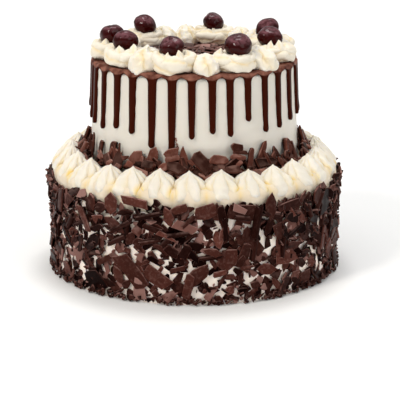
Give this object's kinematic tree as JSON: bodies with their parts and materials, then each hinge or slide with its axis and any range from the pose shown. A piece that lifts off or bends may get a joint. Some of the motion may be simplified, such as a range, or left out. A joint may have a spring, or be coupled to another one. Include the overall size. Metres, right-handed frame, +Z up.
{
  "type": "black forest gateau",
  "caption": "Round tiered gateau: dark chocolate shards round the lower side, piped cream borders, glaze running down the upper side and cherries on top.",
  "frame": {"origin": "centre of the flat base on which the lower tier stands", "axes": "+Z up along the tiers' common axis; -Y faces the side shown in the picture, +X is to its right"},
  "size_m": [0.2687, 0.2681, 0.2229],
  "materials": {
    "shard_coat": "dark chocolate shards, satin on their faces, pressed into matte cream that shows between them",
    "smooth_cream": "whipped cream smoothed with a scraper, matte to softly shining",
    "cream": "piped whipped cream with soft ridges, matte to softly shining",
    "dark_chocolate": "broken dark chocolate, satin",
    "chocolate_glaze": "set chocolate glaze, glossy on its runs and satin on its rim",
    "cherry": "wet, glossy skin of stoned dark cherries"
  },
  "bodies": {
    "root": {"lower_tier": "shard_coat", "upper_tier": "smooth_cream", "glaze": "chocolate_glaze", "foot_shavings": "dark_chocolate", "top_shavings": "dark_chocolate", "border_shell_01": "cream", "border_shell_02": "cream", "border_shell_03": "cream", "border_shell_04": "cream", "border_shell_05": "cream", "border_shell_06": "cream", "border_shell_07": "cream", "border_shell_08": "cream", "border_shell_09": "cream", "border_shell_10": "cream", "border_shell_11": "cream", "border_shell_12": "cream", "border_shell_13": "cream", "border_shell_14": "cream", "border_shell_15": "cream", "border_shell_16": "cream", "border_shell_17": "cream", "border_shell_18": "cream", "border_shell_19": "cream", "border_shell_20": "cream", "border_shell_21": "cream", "border_shell_22": "cream", "border_shell_23": "cream", "border_shell_24": "cream", "border_shell_25": "cream", "border_shell_26": "cream", "border_shell_27": "cream", "border_shell_28": "cream", "rosette_1": "cream", "rosette_2": "cream", "rosette_3": "cream", "rosette_4": "cream", "rosette_5": "cream", "rosette_6": "cream", "rosette_7": "cream", "rosette_8": "cream", "dollop_01": "cream", "dollop_02": "cream", "dollop_03": "cream", "dollop_04": "cream", "dollop_05": "cream", "dollop_06": "cream", "dollop_07": "cream", "dollop_08": "cream", "dollop_09": "cream", "dollop_10": "cream", "cherry_1": "cherry", "cherry_2": "cherry", "cherry_3": "cherry", "cherry_4": "cherry", "cherry_5": "cherry", "cherry_6": "cherry", "cherry_7": "cherry", "cherry_8": "cherry"}
  },
  "joints": []
}
